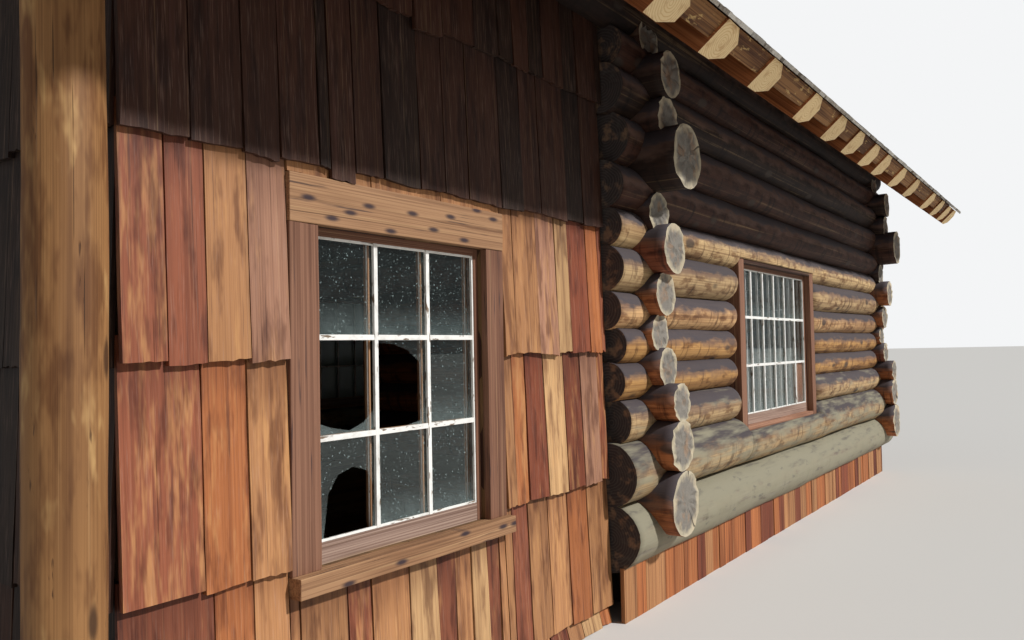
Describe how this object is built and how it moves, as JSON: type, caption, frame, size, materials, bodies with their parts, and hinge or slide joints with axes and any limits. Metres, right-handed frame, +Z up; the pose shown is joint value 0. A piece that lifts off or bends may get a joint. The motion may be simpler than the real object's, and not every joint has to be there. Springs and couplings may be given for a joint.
{
  "type": "log cabin with a shake-clad front room",
  "caption": "Small log cabin of round saddle-notched logs with a shake-clad front room, many-paned windows and a steep shake roof on hewn pole rafters.",
  "frame": {"origin": "centre of the ground plan under the roof, at ground level", "axes": "+X along the building from the porch to the rear log wall, +Z up, the side seen in the picture faces -Y"},
  "size_m": [10.52, 6.7878, 5.9974],
  "materials": {
    "log_wood": "weathered peeled logs, round, with checks and grey ends",
    "block_wood": "squared timber blocks, weathered",
    "skirt_wood": "rough split cedar boards, orange brown",
    "floor_wood": "worn plain boards",
    "frame_wood": "rough sawn framing",
    "shake_wood": "hand split cedar shakes, reddish brown and tan",
    "roof_shake_wood": "hand split cedar shakes, weathered silver",
    "post_wood": "peeled pole, honey brown, with checks",
    "rafter_wood": "hewn poles, fresh cream wood",
    "board_wood": "rough boards",
    "casing_wood": "rough planks with dark stains",
    "sash_paint": "peeling white paint on wood",
    "glass": "old dusty sheet glass",
    "door_wood": "upright planks"
  },
  "bodies": {
    "root": {"door_linings": "casing_wood", "eave_blocking": "rafter_wood", "end_logs_course_01": "log_wood", "end_logs_course_02": "log_wood", "end_logs_course_03": "log_wood", "end_logs_course_04": "log_wood", "end_logs_course_05": "log_wood", "end_logs_course_06": "log_wood", "end_logs_course_07": "log_wood", "end_logs_course_08": "log_wood", "end_logs_course_09": "log_wood", "end_logs_course_10": "log_wood", "end_logs_course_11": "log_wood", "end_logs_course_12": "log_wood", "end_shakes": "shake_wood", "floors": "floor_wood", "foundation_piers": "block_wood", "front_door": "door_wood", "gable_frames": "frame_wood", "porch_posts": "post_wood", "rafters": "rafter_wood", "ridge_cap": "roof_shake_wood", "ridge_pole": "log_wood", "ridge_post": "log_wood", "roof_boards": "board_wood", "roof_shakes": "roof_shake_wood", "side_logs_course_01": "log_wood", "side_logs_course_02": "log_wood", "side_logs_course_03": "log_wood", "side_logs_course_04": "log_wood", "side_logs_course_05": "log_wood", "side_logs_course_06": "log_wood", "side_logs_course_07": "log_wood", "side_logs_course_08": "log_wood", "side_logs_course_09": "log_wood", "side_logs_course_10": "log_wood", "side_logs_course_11": "log_wood", "side_logs_course_12": "log_wood", "side_logs_course_13": "log_wood", "side_shakes": "shake_wood", "skirt_boards": "skirt_wood", "wall_frames": "frame_wood", "window_casings": "casing_wood", "window_glass": "glass", "window_sashes": "sash_paint"}
  },
  "joints": []
}
